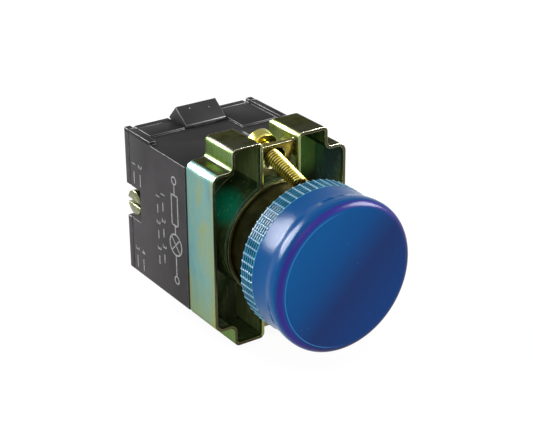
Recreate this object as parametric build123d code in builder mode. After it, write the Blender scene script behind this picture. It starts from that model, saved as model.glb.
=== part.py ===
from build123d import *
import os
from math import atan2, cos, degrees, radians, sin

# Panel pilot light, millimetres.
# +Z is up, the lens looks along -Y and the terminals are at the back, towards +Y.
# The origin is on the lens axis, in the plane where the bracket's front rim meets the panel.

# Mounting bracket
bracket_width = 29.6
bracket_height = 40.0
bracket_depth = 9.6
hump_step = 4.1
hump_side = 4.25
notch_width = 7.7
sheet = 0.6
rear_bevel = 0.7
shoulder_radius = 1.8
hump_radius = 1.1
valley_radius = 1.0
collar_clearance = 0.25
ledge_height = 9.0
ledge_front = 2.2
ledge_length = 2.0

# Lugs that carry the clamp screws
lug_drop = 4.6
lug_set_back = 2.0
lug_tilt = 16.0
lug_sheet = 0.8
lug_top_margin = 1.5
lug_collar_wall = 0.8
lug_collar_length = 1.2
lug_entry_depth = 0.8
lug_entry_taper = 45.0

# Clamp screws
clamp_thread_diameter = 3.0
clamp_thread_gap = 0.04
clamp_reach = 8.2
clamp_tip_chamfer = 0.5
clamp_head_diameter = 5.5
clamp_head_height = 2.2
clamp_head_front = 3.65
clamp_slot_width = 0.9
clamp_slot_depth = 1.1

# Bush through the panel
barrel_diameter = 21.8
bush_bore = 19.2
barrel_overrun = 0.5
bush_tail_diameter = 20.6
bush_tail_length = 6.0
bush_tail_gap = 0.2
bush_lug_height = 7.0
bush_lug_length = 1.4
bush_lug_gap = 0.2
bush_thread_diameter = 25.2
bush_thread_length = 4.0
panel_space = 7.4
gasket_thickness = 0.9
gasket_diameter = 23.4

# Lens cap
knurl_diameter = 29.0
knurl_length = 3.7
knurl_depth = 0.22
knurl_count = 60
knurl_groove_width = 0.5
lens_body_diameter = 28.5
bead_diameter = 29.5
bead_length = 3.1
bead_round = 1.7
bead_flare = 2.6
lens_length = 12.1
lens_wall = 1.7
lens_thread_gap = 0.06
lens_seat_gap = 0.2
lens_seat_width = 0.7
lens_corner = 1.0

# Module housing and its back cover
module_step = 0.7
module_length = 22.6
module_wall = 1.5
module_corner = 0.6
cover_thickness = 1.9
cover_seam = 0.3
cover_lip_length = 1.6
cover_lip_wall = 1.0
cover_lip_gap = 0.1
spigot_length = 3.0
spigot_gap = 0.15
spigot_wall = 1.4
edge_chamfer = 0.8
driver_groove_width = 7.7
driver_groove_length = 9.9
driver_groove_top = 0.3
driver_groove_bottom = 0.8
driver_groove_corner = 1.5

# Raised fields on the module's top
pad_height = 0.4
pad_inner = 4.9
pad_side = 2.1
left_pad_front = 25.7
right_pad_front = 20.2
rail_height = 0.7
rail_width = 1.4
left_rail_front = 22.3
right_rail_front = 19.4

# Release tab and its spring
tab_width = 9.2
tab_peak = 3.4
tab_ridge_back = 2.6
tab_length = 6.5
tab_edge = 0.5
tab_gap = 0.15
tab_travel = 1.4
tab_neck_width = 5.0
tab_neck_front = 0.3
tab_neck_length = 1.6
tab_neck_drop = 3.4
tab_arm_width = 6.0
tab_arm_thickness = 0.8
tab_bolt_reach = 1.4
wire_sides = 6
spring_wire = 0.3
spring_diameter = 2.6
spring_turns = 2.5
spring_peg_diameter = 1.5
spring_peg_length = 0.8

# Lamp and its holder
bulb_length = 28.0
bulb_glass_diameter = 10.2
bulb_base_diameter = 8.9
bulb_base_length = 11.0
bulb_flare = 1.6
bulb_taper = 1.0
bulb_dome_steps = (30, 60)
bulb_contact_diameter = 4.0
bulb_contact_height = 1.0
bulb_pin_diameter = 2.0
bulb_pin_span = 10.9
bulb_pin_setback = 6.5
shell_gap = 0.05
shell_wall = 0.4
shell_length = 10.5
shell_flange_diameter = 14.6
shell_slot_gap = 0.2
shell_slot_turn = 35.0
guard_gap = 0.75
guard_wall = 1.3
guard_length = 8.0
contact_head_length = 1.4
contact_stem_diameter = 1.6
contact_gap = 0.25
rest_gap = 0.02
carrier_disc_diameter = 11.6
carrier_disc_thickness = 1.2
carrier_wall = 1.2
carrier_length = 7.0
carrier_end = 0.8
contact_spring_wire = 0.35
contact_spring_diameter = 3.5
contact_spring_turns = 3.0
lead_thickness = 0.4
lead_width = 3.6
lead_side = 6.7
lead_end = 25.0
lead_margin = 1.4

# Terminals
terminal_back = 2.6
terminal_notch_height = 6.9
terminal_notch_length = 5.3
terminal_depth = 3.2
terminal_block_wall = 1.3
terminal_plate_thickness = 1.6
terminal_plate_gap = 0.1
tongue_width = 4.0
tongue_length = 5.2
terminal_thread_diameter = 3.5
terminal_thread_gap = 0.04
terminal_screw_gap = 0.25
terminal_screw_length = 4.7
terminal_head_diameter = 5.0
terminal_head_height = 2.2
terminal_slot_width = 0.9
terminal_slot_depth = 1.1
saddle_width = 6.6
saddle_length = 4.2
saddle_thickness = 0.9
saddle_turn_up = 0.6

# Series resistor
resistor_diameter = 4.2
resistor_end_chamfer = 0.5
resistor_length = 10.0
resistor_wire = 0.7
resistor_wire_gap = 0.05
resistor_rise = 5.6
resistor_y = 23.5

# Places worked out from the sizes above
shoulder_height = bracket_height - 2 * hump_step
hump_width = bracket_width - 2 * hump_side
module_width = bracket_width
module_height = shoulder_height - 2 * module_step
collar_bore = barrel_diameter + 2 * collar_clearance
collar_diameter = collar_bore + 2 * sheet
lug_height = bracket_height / 2 - lug_drop
lug_top = bracket_height / 2 - lug_top_margin
lug_rise = (lug_top - lug_height) / cos(radians(lug_tilt))
lug_fall = (lug_height - collar_bore / 2 + sheet) / cos(radians(lug_tilt))
clamp_hole = clamp_thread_diameter / 2 + clamp_thread_gap
lens_back = -(panel_space + gasket_thickness)
lens_face = lens_back - lens_length
lens_bore = bush_thread_diameter / 2 + lens_thread_gap
bush_front = lens_back - bush_thread_length
knurl_groove_angle = degrees(atan2(2 * knurl_depth, knurl_groove_width))
module_front = bracket_depth
module_back = module_front + module_length
cover_front = module_back - cover_thickness
inside_front = module_front + module_wall
half_width = module_width / 2
top = module_height / 2
deck = top - rail_height
ceiling = deck - module_wall
pad_outer = half_width - pad_side
terminal_floor = half_width - terminal_depth
resistor_height = resistor_rise - top
holder_back = inside_front + shell_wall
bulb_tip = inside_front + bulb_contact_height
bulb_pins_y = bulb_tip - bulb_pin_setback
shell_inside = bulb_base_diameter / 2 + shell_gap
shell_outside = shell_inside + shell_wall
guard_inside = shell_outside + guard_gap
contact_head = bulb_contact_diameter / 2
contact_back = bulb_tip + rest_gap + contact_head_length
carrier_back = holder_back + carrier_length
carrier_inside = contact_head + contact_gap
carrier_end_front = carrier_back - carrier_end
terminal_y = module_back - terminal_back
pocket_front = module_back - terminal_notch_length
block_height = terminal_notch_height + 2 * terminal_block_wall
block_floor = terminal_floor - terminal_plate_thickness
terminal_hole = terminal_thread_diameter / 2 + terminal_thread_gap
terminal_well = terminal_thread_diameter / 2 + terminal_screw_gap
saddle_face = terminal_floor + saddle_thickness
tongue_front = pocket_front - tongue_length
tab_front = module_back - tab_length
tab_base = deck + tab_gap
neck_front = tab_front + tab_neck_front
neck_back = neck_front + tab_neck_length
arm_top = ceiling - tab_gap
arm_bottom = arm_top - tab_arm_thickness
neck_bottom = arm_top - tab_neck_drop
spring_height = neck_bottom + tab_neck_drop / 2
sides = (-1, 1)
side_names = {-1: "left", 1: "right"}
level_names = {-1: "bottom", 1: "top"}

os.makedirs("parts", exist_ok=True)


def facing_front(y):
    """A sketch plane across the lens axis; an extrusion from it goes towards the lens."""
    return Plane(origin=(0, y, 0), x_dir=(1, 0, 0), z_dir=(0, -1, 0))


def facing_right(x):
    """A sketch plane with +Y along its x and +Z along its y; an extrusion goes towards +X."""
    return Plane(origin=(x, 0, 0), x_dir=(0, 1, 0), z_dir=(1, 0, 0))


def lug_plane(level):
    """The front face of a lug: level is 1 for the upper lug and -1 for the lower one."""
    lean = radians(lug_tilt)
    return Plane(
        origin=(0, lug_set_back, level * lug_height),
        x_dir=(level, 0, 0),
        z_dir=(0, -cos(lean), -level * sin(lean)),
    )


def save(part, name):
    """Label a finished piece and write it to its own file."""
    part.label = name
    export_step(part, "parts/" + name + ".step")


def bracket_outline(split):
    """The bracket seen from the front: a wide body with a narrower hump above and below;
    split cuts the humps by the channels that run in to the collar."""
    with BuildSketch() as outline:
        Rectangle(bracket_width, shoulder_height)
        Rectangle(hump_width, bracket_height)
        valleys = outline.vertices().sort_by_distance((0, 0))[:4]
        fillet(valleys, valley_radius)
        by_width = outline.vertices().group_by(Axis.X)
        fillet(by_width[0] + by_width[-1], shoulder_radius)
        if split:
            Rectangle(notch_width, bracket_height, mode=Mode.SUBTRACT)
        by_height = outline.vertices().group_by(Axis.Y)
        fillet(by_height[0] + by_height[-1], hump_radius)
        if split:
            Circle(collar_diameter / 2)
    return outline.sketch


# Mounting bracket: an open-fronted box with a bayonet collar in the middle, and a channel
# above and below whose tilted lug is tapped for a clamp screw.
with BuildPart() as mounting_bracket:
    with BuildSketch(facing_front(bracket_depth)):
        add(bracket_outline(False))
    extrude(amount=bracket_depth)
    chamfer(mounting_bracket.edges().group_by(Axis.Y)[-1], rear_bevel)
    with BuildSketch(facing_front(bracket_depth - sheet)):
        add(bracket_outline(True))
        offset(amount=-sheet)
        Circle(collar_diameter / 2, mode=Mode.SUBTRACT)
    extrude(amount=bracket_depth, mode=Mode.SUBTRACT)
    with BuildSketch(facing_front(bracket_depth)):
        add(bracket_outline(False))
        add(bracket_outline(True), mode=Mode.SUBTRACT)
    extrude(amount=bracket_depth, mode=Mode.SUBTRACT)
    for level in sides:
        with BuildSketch(lug_plane(level)):
            with Locations((0, (lug_rise - lug_fall) / 2)):
                Rectangle(notch_width + sheet, lug_rise + lug_fall)
        extrude(amount=-lug_sheet)
        with BuildSketch(lug_plane(level)):
            Circle(clamp_hole + lug_collar_wall)
        extrude(amount=-lug_sheet - lug_collar_length)
        with BuildSketch(lug_plane(level)):
            Circle(clamp_hole)
        extrude(amount=-lug_sheet - lug_collar_length, mode=Mode.SUBTRACT)
        with BuildSketch(lug_plane(level)):
            Circle(clamp_hole + lug_entry_depth)
        extrude(amount=-lug_entry_depth, taper=lug_entry_taper, mode=Mode.SUBTRACT)
    with BuildSketch(facing_front(bracket_depth)):
        Circle(collar_bore / 2)
    extrude(amount=bracket_depth, mode=Mode.SUBTRACT)
    with BuildSketch(facing_front(ledge_front + ledge_length)):
        Circle(collar_bore / 2 + sheet / 2)
        Circle(bush_tail_diameter / 2 + bush_tail_gap, mode=Mode.SUBTRACT)
        Rectangle(collar_diameter, ledge_height, mode=Mode.INTERSECT)
    extrude(amount=ledge_length)
save(mounting_bracket.part, "mounting_bracket")


# Clamp screws: slotted cheese-head screws that run through the lugs and press on the
# panel's back. Their fine thread isn't cut.
for level in sides:
    front = lug_plane(level)
    with BuildPart() as clamp_screw:
        with BuildSketch(front.offset(-clamp_head_front)):
            Circle(clamp_thread_diameter / 2)
        extrude(amount=clamp_head_front + clamp_reach)
        tip = clamp_screw.faces().sort_by(Axis(front.origin, front.z_dir))[-1]
        chamfer(tip.edges(), clamp_tip_chamfer)
        with BuildSketch(front.offset(-clamp_head_front)):
            Circle(clamp_head_diameter / 2)
        extrude(amount=-clamp_head_height)
        with BuildSketch(front.offset(-clamp_head_front - clamp_head_height)):
            Rectangle(clamp_head_diameter, clamp_slot_width)
        extrude(amount=clamp_slot_depth, mode=Mode.SUBTRACT)
    save(clamp_screw.part, "clamp_screw_" + level_names[level])


# Panel bush: the barrel that fills the panel hole, with a threaded flange for the lens cap
# in front and a bayonet tail behind.
with BuildPart() as panel_bush:
    with BuildSketch(facing_front(barrel_overrun)):
        Circle(barrel_diameter / 2)
    extrude(amount=barrel_overrun - lens_back)
    with BuildSketch(facing_front(lens_back)):
        Circle(bush_thread_diameter / 2)
    extrude(amount=bush_thread_length)
    with BuildSketch(facing_front(bush_tail_length)):
        Circle(bush_tail_diameter / 2)
    extrude(amount=bush_tail_length)
    lug_start = ledge_front + ledge_length + bush_lug_gap
    with BuildSketch(facing_front(lug_start + bush_lug_length)):
        Circle(barrel_diameter / 2)
        Rectangle(barrel_diameter, bush_lug_height, mode=Mode.INTERSECT)
    extrude(amount=bush_lug_length)
    with BuildSketch(facing_front(bush_tail_length)):
        Circle(bush_bore / 2)
    extrude(amount=bush_tail_length - bush_front, mode=Mode.SUBTRACT)
save(panel_bush.part, "panel_bush")


# Panel gasket: a rubber ring between the bush's flange and the panel.
with BuildPart() as panel_gasket:
    with BuildSketch(facing_front(lens_back + gasket_thickness)):
        Circle(gasket_diameter / 2)
        Circle(barrel_diameter / 2, mode=Mode.SUBTRACT)
    extrude(amount=gasket_thickness)
save(panel_gasket.part, "panel_gasket")


# Lens cap: turned outside with a knurled rim at the back and a body that flares to a rounded
# bead in front, hollow inside with a threaded skirt.
knurl_front = lens_back - knurl_length
bead_back = lens_face + bead_length
with BuildPart() as lens_cap:
    with BuildSketch(Plane.XY) as section:
        with BuildLine():
            Polyline(
                (0, lens_face),
                (bead_diameter / 2, lens_face),
                (bead_diameter / 2, bead_back),
                (lens_body_diameter / 2, bead_back + bead_flare),
                (lens_body_diameter / 2, knurl_front),
                (knurl_diameter / 2, knurl_front),
                (knurl_diameter / 2, lens_back),
                (lens_bore, lens_back),
                (lens_bore, bush_front - lens_seat_gap),
                (lens_bore - lens_seat_width, bush_front - lens_seat_gap),
                (lens_bore - lens_seat_width, lens_face + lens_wall + lens_corner),
                (lens_bore - lens_seat_width - lens_corner, lens_face + lens_wall),
                (0, lens_face + lens_wall),
                close=True,
            )
        make_face()
        rim = section.vertices().group_by(Axis.X)[-1]
        fillet(rim.sort_by(Axis.Y)[0], bead_round)
    revolve(axis=Axis.Y)
    with BuildSketch(facing_front(lens_back)):
        with PolarLocations(knurl_diameter / 2 + knurl_depth, knurl_count):
            Triangle(
                a=2 * knurl_groove_width,
                B=knurl_groove_angle,
                C=knurl_groove_angle,
                align=(Align.CENTER, Align.MAX),
                rotation=-90,
            )
    extrude(amount=knurl_length, mode=Mode.SUBTRACT)
save(lens_cap.part, "lens_cap")


def module_outline(with_rails):
    """The module seen from behind its front wall, with raised rails or bevelled edges."""
    with BuildSketch() as outline:
        with Locations((0, (deck - top) / 2)):
            Rectangle(module_width, deck + top)
        by_height = outline.vertices().group_by(Axis.Y)
        fillet(by_height[0], module_corner)
        if with_rails:
            for side in sides:
                with Locations((side * (half_width - rail_width / 2), deck)):
                    Rectangle(rail_width, 2 * rail_height)
                with Locations((side * (pad_inner + pad_outer) / 2, deck)):
                    Rectangle(pad_outer - pad_inner, 2 * pad_height)
        else:
            chamfer(by_height[-1], edge_chamfer)
    return outline.sketch


def terminal_pocket(margin):
    """A terminal's recess seen from the side, shrunk by a margin."""
    with BuildSketch() as pocket:
        with Locations((pocket_front + terminal_notch_length / 2, 0)):
            Rectangle(
                terminal_notch_length - 2 * margin,
                terminal_notch_height - 2 * margin,
            )
    return pocket.sketch


# Module housing: a box open at the back, with a spigot that enters the bracket's collar, a
# guard tube round the lamp holder, a recess for each terminal and a slot for the tab's arm.
with BuildPart() as module_housing:
    with BuildSketch(facing_front(cover_front)):
        add(module_outline(False))
    extrude(amount=cover_front - module_front)
    rail_fronts = {-1: left_rail_front, 1: right_rail_front}
    pad_fronts = {-1: left_pad_front, 1: right_pad_front}
    for side in sides:
        with BuildSketch(facing_front(cover_front)):
            with Locations((side * (half_width - rail_width / 2), deck)):
                Rectangle(rail_width, 2 * rail_height)
        extrude(amount=cover_front - rail_fronts[side])
        with BuildSketch(facing_front(cover_front)):
            with Locations((side * (pad_inner + pad_outer) / 2, deck)):
                Rectangle(pad_outer - pad_inner, 2 * pad_height)
        extrude(amount=cover_front - pad_fronts[side])
    with BuildSketch(facing_front(cover_front)):
        with Locations((0, (ceiling - top + module_wall) / 2)):
            Rectangle(module_width - 2 * module_wall, ceiling + top - module_wall)
    extrude(amount=cover_front - inside_front, mode=Mode.SUBTRACT)
    with BuildSketch(facing_front(module_front)):
        Circle(collar_bore / 2 - spigot_gap)
        Circle(collar_bore / 2 - spigot_gap - spigot_wall, mode=Mode.SUBTRACT)
    extrude(amount=spigot_length)
    with BuildSketch(facing_front(module_front)):
        Circle(guard_inside + guard_wall)
        Circle(guard_inside, mode=Mode.SUBTRACT)
    extrude(amount=guard_length)
    with BuildSketch(facing_front(inside_front)):
        Circle(shell_outside + shell_gap)
    extrude(amount=module_wall, mode=Mode.SUBTRACT)
    for side in sides:
        with BuildSketch(facing_right(side * (block_floor - terminal_block_wall))):
            with Locations(((pocket_front - terminal_block_wall + cover_front) / 2, 0)):
                Rectangle(cover_front - pocket_front + terminal_block_wall, block_height)
        extrude(amount=side * (half_width - module_wall - block_floor + terminal_block_wall))
        with BuildSketch(facing_right(side * block_floor)):
            add(terminal_pocket(0))
        extrude(amount=side * half_width, mode=Mode.SUBTRACT)
        with BuildSketch(facing_right(side * block_floor)):
            with Locations((pocket_front - terminal_block_wall / 2, 0)):
                Rectangle(2 * terminal_block_wall, tongue_width + 2 * terminal_plate_gap)
        extrude(amount=side * (terminal_plate_thickness + terminal_plate_gap), mode=Mode.SUBTRACT)
        with BuildSketch(facing_right(side * block_floor)):
            with Locations((terminal_y, 0)):
                Circle(terminal_well)
        extrude(amount=-side * terminal_block_wall, mode=Mode.SUBTRACT)
    with BuildSketch(Plane.XY.offset(deck)):
        with Locations((0, neck_front - tab_gap)):
            Rectangle(
                tab_neck_width + 2 * tab_gap,
                tab_neck_length + tab_travel + 2 * tab_gap,
                align=(Align.CENTER, Align.MIN),
            )
    extrude(amount=-module_wall, mode=Mode.SUBTRACT)
    driver_grooves = {deck: driver_groove_top, driver_groove_bottom - top: driver_groove_bottom}
    for height, depth in driver_grooves.items():
        with BuildSketch(Plane.XY.offset(height)) as groove:
            with Locations((0, module_front)):
                Rectangle(driver_groove_width, 2 * driver_groove_length)
            fillet(groove.vertices(), driver_groove_corner)
        extrude(amount=-depth, mode=Mode.SUBTRACT)
    with BuildSketch(facing_front(inside_front)):
        with Locations((0, (arm_top + arm_bottom) / 2)):
            Rectangle(tab_arm_width + 2 * tab_gap, tab_arm_thickness + 2 * tab_gap)
    extrude(amount=module_wall, mode=Mode.SUBTRACT)
save(module_housing.part, "module_housing")


# Back cover: closes the housing, with a groove at the seam, tongues that plug inside and a
# peg for the release tab's spring.
with BuildPart() as rear_cover:
    with BuildSketch(facing_front(module_back)):
        add(module_outline(True))
    extrude(amount=cover_thickness - cover_seam)
    with BuildSketch(facing_front(cover_front)):
        add(module_outline(True))
        offset(amount=-cover_seam, kind=Kind.INTERSECTION)
    extrude(amount=-cover_seam)
    lip_top = ceiling - cover_lip_gap
    lip_bottom = -top + module_wall + cover_lip_gap
    lip_side = half_width - module_wall - cover_lip_gap
    with BuildSketch(facing_front(cover_front)):
        with Locations((0, (lip_top + lip_bottom) / 2)):
            Rectangle(2 * lip_side, lip_top - lip_bottom)
            Rectangle(
                2 * lip_side,
                lip_top - lip_bottom - 2 * cover_lip_wall,
                mode=Mode.SUBTRACT,
            )
        with Locations((0, lip_top)):
            Rectangle(tab_arm_width + 2 * cover_lip_wall, 2 * cover_lip_wall, mode=Mode.SUBTRACT)
    extrude(amount=cover_lip_length)
    with BuildSketch(facing_front(cover_front)):
        with Locations((0, spring_height)):
            Circle(spring_peg_diameter / 2)
    extrude(amount=spring_peg_length)
    for side in sides:
        with BuildSketch(facing_right(side * block_floor)):
            add(terminal_pocket(0))
        extrude(amount=side * half_width, mode=Mode.SUBTRACT)
        with BuildSketch(facing_right(side * saddle_face)):
            with Locations((terminal_y, 0)):
                Circle(terminal_well)
        extrude(amount=-side * (terminal_screw_length + terminal_screw_gap), mode=Mode.SUBTRACT)
save(rear_cover.part, "rear_cover")


# Release tab: a wedge on top of the module whose neck passes through the top wall to an
# arm; the arm's front end is a bolt that enters the bracket's upper channel.
with BuildPart() as release_tab:
    with BuildSketch(facing_right(-tab_width / 2)):
        with BuildLine():
            Polyline(
                (tab_front, tab_base),
                (tab_front, tab_base + tab_edge),
                (module_back - tab_ridge_back, deck + tab_peak),
                (module_back, tab_base + tab_edge),
                (module_back, tab_base),
                close=True,
            )
        make_face()
    extrude(amount=tab_width)
    with BuildSketch(facing_front(neck_back)):
        with Locations((0, (tab_base + neck_bottom) / 2)):
            Rectangle(tab_neck_width, tab_base - neck_bottom)
    extrude(amount=tab_neck_length)
    with BuildSketch(facing_front(neck_back)):
        with Locations((0, (arm_top + arm_bottom) / 2)):
            Rectangle(tab_arm_width, tab_arm_thickness)
    extrude(amount=neck_back - module_front + tab_bolt_reach)
save(release_tab.part, "release_tab")


def coil(start, end, height, wire, diameter, turns):
    """A compression spring along +Y between two places, at a height above the lens axis."""
    with BuildPart() as spring:
        with BuildLine() as path:
            Helix(
                pitch=(end - start - wire) / turns,
                height=end - start - wire,
                radius=(diameter - wire) / 2,
                center=(0, start + wire / 2, height),
                direction=(0, 1, 0),
            )
        with BuildSketch(Plane(origin=path.line @ 0, z_dir=path.line % 0)):
            RegularPolygon(wire / 2, wire_sides)
        sweep(is_frenet=True)
    return spring.part


save(
    coil(neck_back, cover_front, spring_height, spring_wire, spring_diameter, spring_turns),
    "release_spring",
)


# Bulb: glass envelope, metal base with two side pins and an end contact, sealed as one.
bulb_base_back = bulb_tip - bulb_contact_height
bulb_base_front = bulb_base_back - bulb_base_length
bulb_front = bulb_tip - bulb_length
with BuildPart() as bulb:
    with BuildSketch(Plane.XY):
        with BuildLine():
            glass = bulb_glass_diameter / 2
            base = bulb_base_diameter / 2
            dome = [
                (glass * cos(radians(lift)), bulb_front + glass - glass * sin(radians(lift)))
                for lift in bulb_dome_steps
            ]
            Polyline(
                (0, bulb_front),
                (0, bulb_tip),
                (bulb_contact_diameter / 2, bulb_tip),
                (bulb_contact_diameter / 2, bulb_base_back),
                (base - bulb_taper, bulb_base_back),
                (base, bulb_base_back - bulb_taper),
                (base, bulb_base_front),
                (glass, bulb_base_front - bulb_flare),
                (glass, bulb_front + glass),
                *dome,
                (0, bulb_front),
            )
        make_face()
    revolve(axis=Axis.Y)
    with BuildSketch(facing_right(-bulb_pin_span / 2)):
        with Locations((bulb_pins_y, 0)):
            Circle(bulb_pin_diameter / 2)
    extrude(amount=bulb_pin_span)
save(bulb.part, "bulb")


# Lamp shell: a thin brass sleeve with two J-shaped slots for the bulb's pins and a flange
# behind the housing's front wall.
shell_front = holder_back - shell_length
shell_slot = bulb_pin_diameter + 2 * shell_slot_gap
with BuildPart() as lamp_shell:
    with BuildSketch(facing_front(holder_back)):
        Circle(shell_outside)
    extrude(amount=shell_length)
    with BuildSketch(facing_front(holder_back)):
        Circle(shell_flange_diameter / 2)
    extrude(amount=shell_wall)
    with BuildSketch(facing_front(holder_back)):
        Circle(shell_inside)
    extrude(amount=shell_length, mode=Mode.SUBTRACT)
    for turn in (0, shell_slot_turn / 2, shell_slot_turn):
        spun = Plane.XY.rotated((0, turn, 0))
        with BuildSketch(spun.offset(-shell_slot / 2)):
            with Locations((0, bulb_pins_y)):
                Rectangle(2 * shell_outside + shell_gap, shell_slot)
        extrude(amount=shell_slot, mode=Mode.SUBTRACT)
    with BuildSketch(spun.offset(-shell_slot / 2)):
        with Locations((0, (bulb_pins_y + shell_front) / 2)):
            Rectangle(2 * shell_outside + shell_gap, bulb_pins_y - shell_front)
    extrude(amount=shell_slot, mode=Mode.SUBTRACT)
save(lamp_shell.part, "lamp_shell")


# Contact carrier: an insulating disc with a tube that guides the sprung centre contact.
with BuildPart() as contact_carrier:
    with BuildSketch(facing_front(carrier_back)):
        Circle(carrier_inside + carrier_wall)
    extrude(amount=carrier_length)
    with BuildSketch(facing_front(holder_back + carrier_disc_thickness)):
        Circle(carrier_disc_diameter / 2)
    extrude(amount=carrier_disc_thickness)
    with BuildSketch(facing_front(carrier_end_front)):
        Circle(carrier_inside)
    extrude(amount=carrier_length - carrier_end, mode=Mode.SUBTRACT)
    with BuildSketch(facing_front(carrier_back)):
        Circle(contact_stem_diameter / 2 + contact_gap)
    extrude(amount=carrier_end, mode=Mode.SUBTRACT)
save(contact_carrier.part, "contact_carrier")


# Centre contact: a headed pin that a spring presses against the bulb's end contact.
stem_back = carrier_back + lead_thickness + contact_gap
with BuildPart() as centre_contact:
    with BuildSketch(facing_front(contact_back)):
        Circle(contact_head)
    extrude(amount=contact_head_length)
    with BuildSketch(facing_front(stem_back)):
        Circle(contact_stem_diameter / 2)
    extrude(amount=stem_back - contact_back)
save(centre_contact.part, "centre_contact")


save(
    coil(
        contact_back,
        carrier_end_front,
        0,
        contact_spring_wire,
        contact_spring_diameter,
        contact_spring_turns,
    ),
    "contact_spring",
)


# Contact lead: a brass strip from the back of the contact carrier round to the resistor.
with BuildPart() as contact_lead:
    lead_top = lead_width / 2
    lead_bottom = resistor_height - lead_margin
    with BuildSketch(Plane.XY.offset(lead_bottom)):
        with BuildLine():
            Polyline(
                (-lead_top, carrier_back + lead_thickness / 2),
                (lead_side, carrier_back + lead_thickness / 2),
                (lead_side, lead_end),
            )
        trace(line_width=lead_thickness)
    extrude(amount=lead_top - lead_bottom)
    with BuildSketch(facing_front(carrier_back + lead_thickness)):
        with Locations((0, (lead_bottom - lead_top) / 2)):
            Rectangle(2 * lead_side - lead_width, -lead_bottom - lead_top)
    extrude(amount=lead_thickness, mode=Mode.SUBTRACT)
    with BuildSketch(facing_front(carrier_back + lead_thickness)):
        Circle(contact_stem_diameter / 2 + contact_gap)
    extrude(amount=lead_thickness, mode=Mode.SUBTRACT)
    with BuildSketch(facing_right(lead_side - lead_thickness)):
        with Locations((resistor_y, resistor_height)):
            Circle(resistor_wire / 2 + resistor_wire_gap)
    extrude(amount=2 * lead_thickness, mode=Mode.SUBTRACT)
save(contact_lead.part, "contact_lead")


# Shell lead: a brass strip from the lamp shell's flange to the right terminal.
with BuildPart() as shell_lead:
    with BuildSketch(Plane.XY.offset(-lead_width / 2)):
        with BuildLine():
            Polyline(
                (carrier_disc_diameter / 2 + terminal_plate_gap, holder_back + lead_thickness / 2),
                (block_floor - lead_thickness / 2, holder_back + lead_thickness / 2),
                (block_floor - lead_thickness / 2, lead_end),
            )
        trace(line_width=lead_thickness)
    extrude(amount=lead_width)
save(shell_lead.part, "shell_lead")


# Series resistor: a ceramic rod with an axial wire at each end.
with BuildPart() as series_resistor:
    with BuildSketch(facing_right(-resistor_length / 2)):
        with Locations((resistor_y, resistor_height)):
            Circle(resistor_diameter / 2)
    extrude(amount=resistor_length)
    chamfer(series_resistor.edges().filter_by(GeomType.CIRCLE), resistor_end_chamfer)
    with BuildSketch(facing_right(-terminal_floor)):
        with Locations((resistor_y, resistor_height)):
            Circle(resistor_wire / 2)
    extrude(amount=terminal_floor + lead_side + lead_thickness)
save(series_resistor.part, "series_resistor")


# Terminals: a tapped plate in each recess with a tongue that runs inside, a slotted clamp
# screw and the saddle that the screw presses on the wire. The left plate's tongue has a leg
# down to the resistor.
for side in sides:
    with BuildPart() as terminal_plate:
        with BuildSketch(facing_right(side * block_floor)):
            add(terminal_pocket(terminal_plate_gap))
        extrude(amount=side * terminal_plate_thickness)
        with BuildSketch(facing_right(side * block_floor)):
            with Locations(((tongue_front + pocket_front) / 2, 0)):
                Rectangle(tongue_length + 2 * terminal_plate_gap, tongue_width)
            if side == sides[0]:
                with Locations((resistor_y, (resistor_height - lead_margin) / 2)):
                    Rectangle(2 * lead_margin, lead_margin - resistor_height)
                with Locations((resistor_y, resistor_height)):
                    Circle(resistor_wire / 2 + resistor_wire_gap, mode=Mode.SUBTRACT)
        extrude(amount=side * terminal_plate_thickness)
        with BuildSketch(facing_right(side * terminal_floor)):
            with Locations((terminal_y, 0)):
                Circle(terminal_hole)
        extrude(amount=-side * terminal_plate_thickness, mode=Mode.SUBTRACT)
    save(terminal_plate.part, "terminal_plate_" + side_names[side])

    with BuildPart() as terminal_screw:
        with BuildSketch(facing_right(side * saddle_face)):
            with Locations((terminal_y, 0)):
                Circle(terminal_head_diameter / 2)
        extrude(amount=side * terminal_head_height)
        with BuildSketch(facing_right(side * saddle_face)):
            with Locations((terminal_y, 0)):
                Circle(terminal_thread_diameter / 2)
        extrude(amount=-side * terminal_screw_length)
        with BuildSketch(facing_right(side * (saddle_face + terminal_head_height))):
            with Locations((terminal_y, 0)):
                Rectangle(terminal_head_diameter, terminal_slot_width)
        extrude(amount=-side * terminal_slot_depth, mode=Mode.SUBTRACT)
    save(terminal_screw.part, "terminal_screw_" + side_names[side])

    with BuildPart() as saddle_clamp:
        with BuildSketch(facing_right(side * terminal_floor)):
            with Locations((terminal_y, 0)):
                Rectangle(saddle_length, saddle_width)
        extrude(amount=side * (saddle_thickness + saddle_turn_up))
        with BuildSketch(facing_right(side * saddle_face)):
            with Locations((terminal_y, 0)):
                Rectangle(saddle_length, saddle_width - 2 * saddle_turn_up)
        extrude(amount=side * saddle_turn_up, mode=Mode.SUBTRACT)
        with BuildSketch(facing_right(side * terminal_floor)):
            with Locations((terminal_y, 0)):
                Circle(terminal_hole)
        extrude(amount=side * saddle_thickness, mode=Mode.SUBTRACT)
    save(saddle_clamp.part, "saddle_clamp_" + side_names[side])
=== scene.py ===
from math import atan2, cos, pi, radians, sin

import bpy
from mathutils import Matrix, Vector

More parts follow.
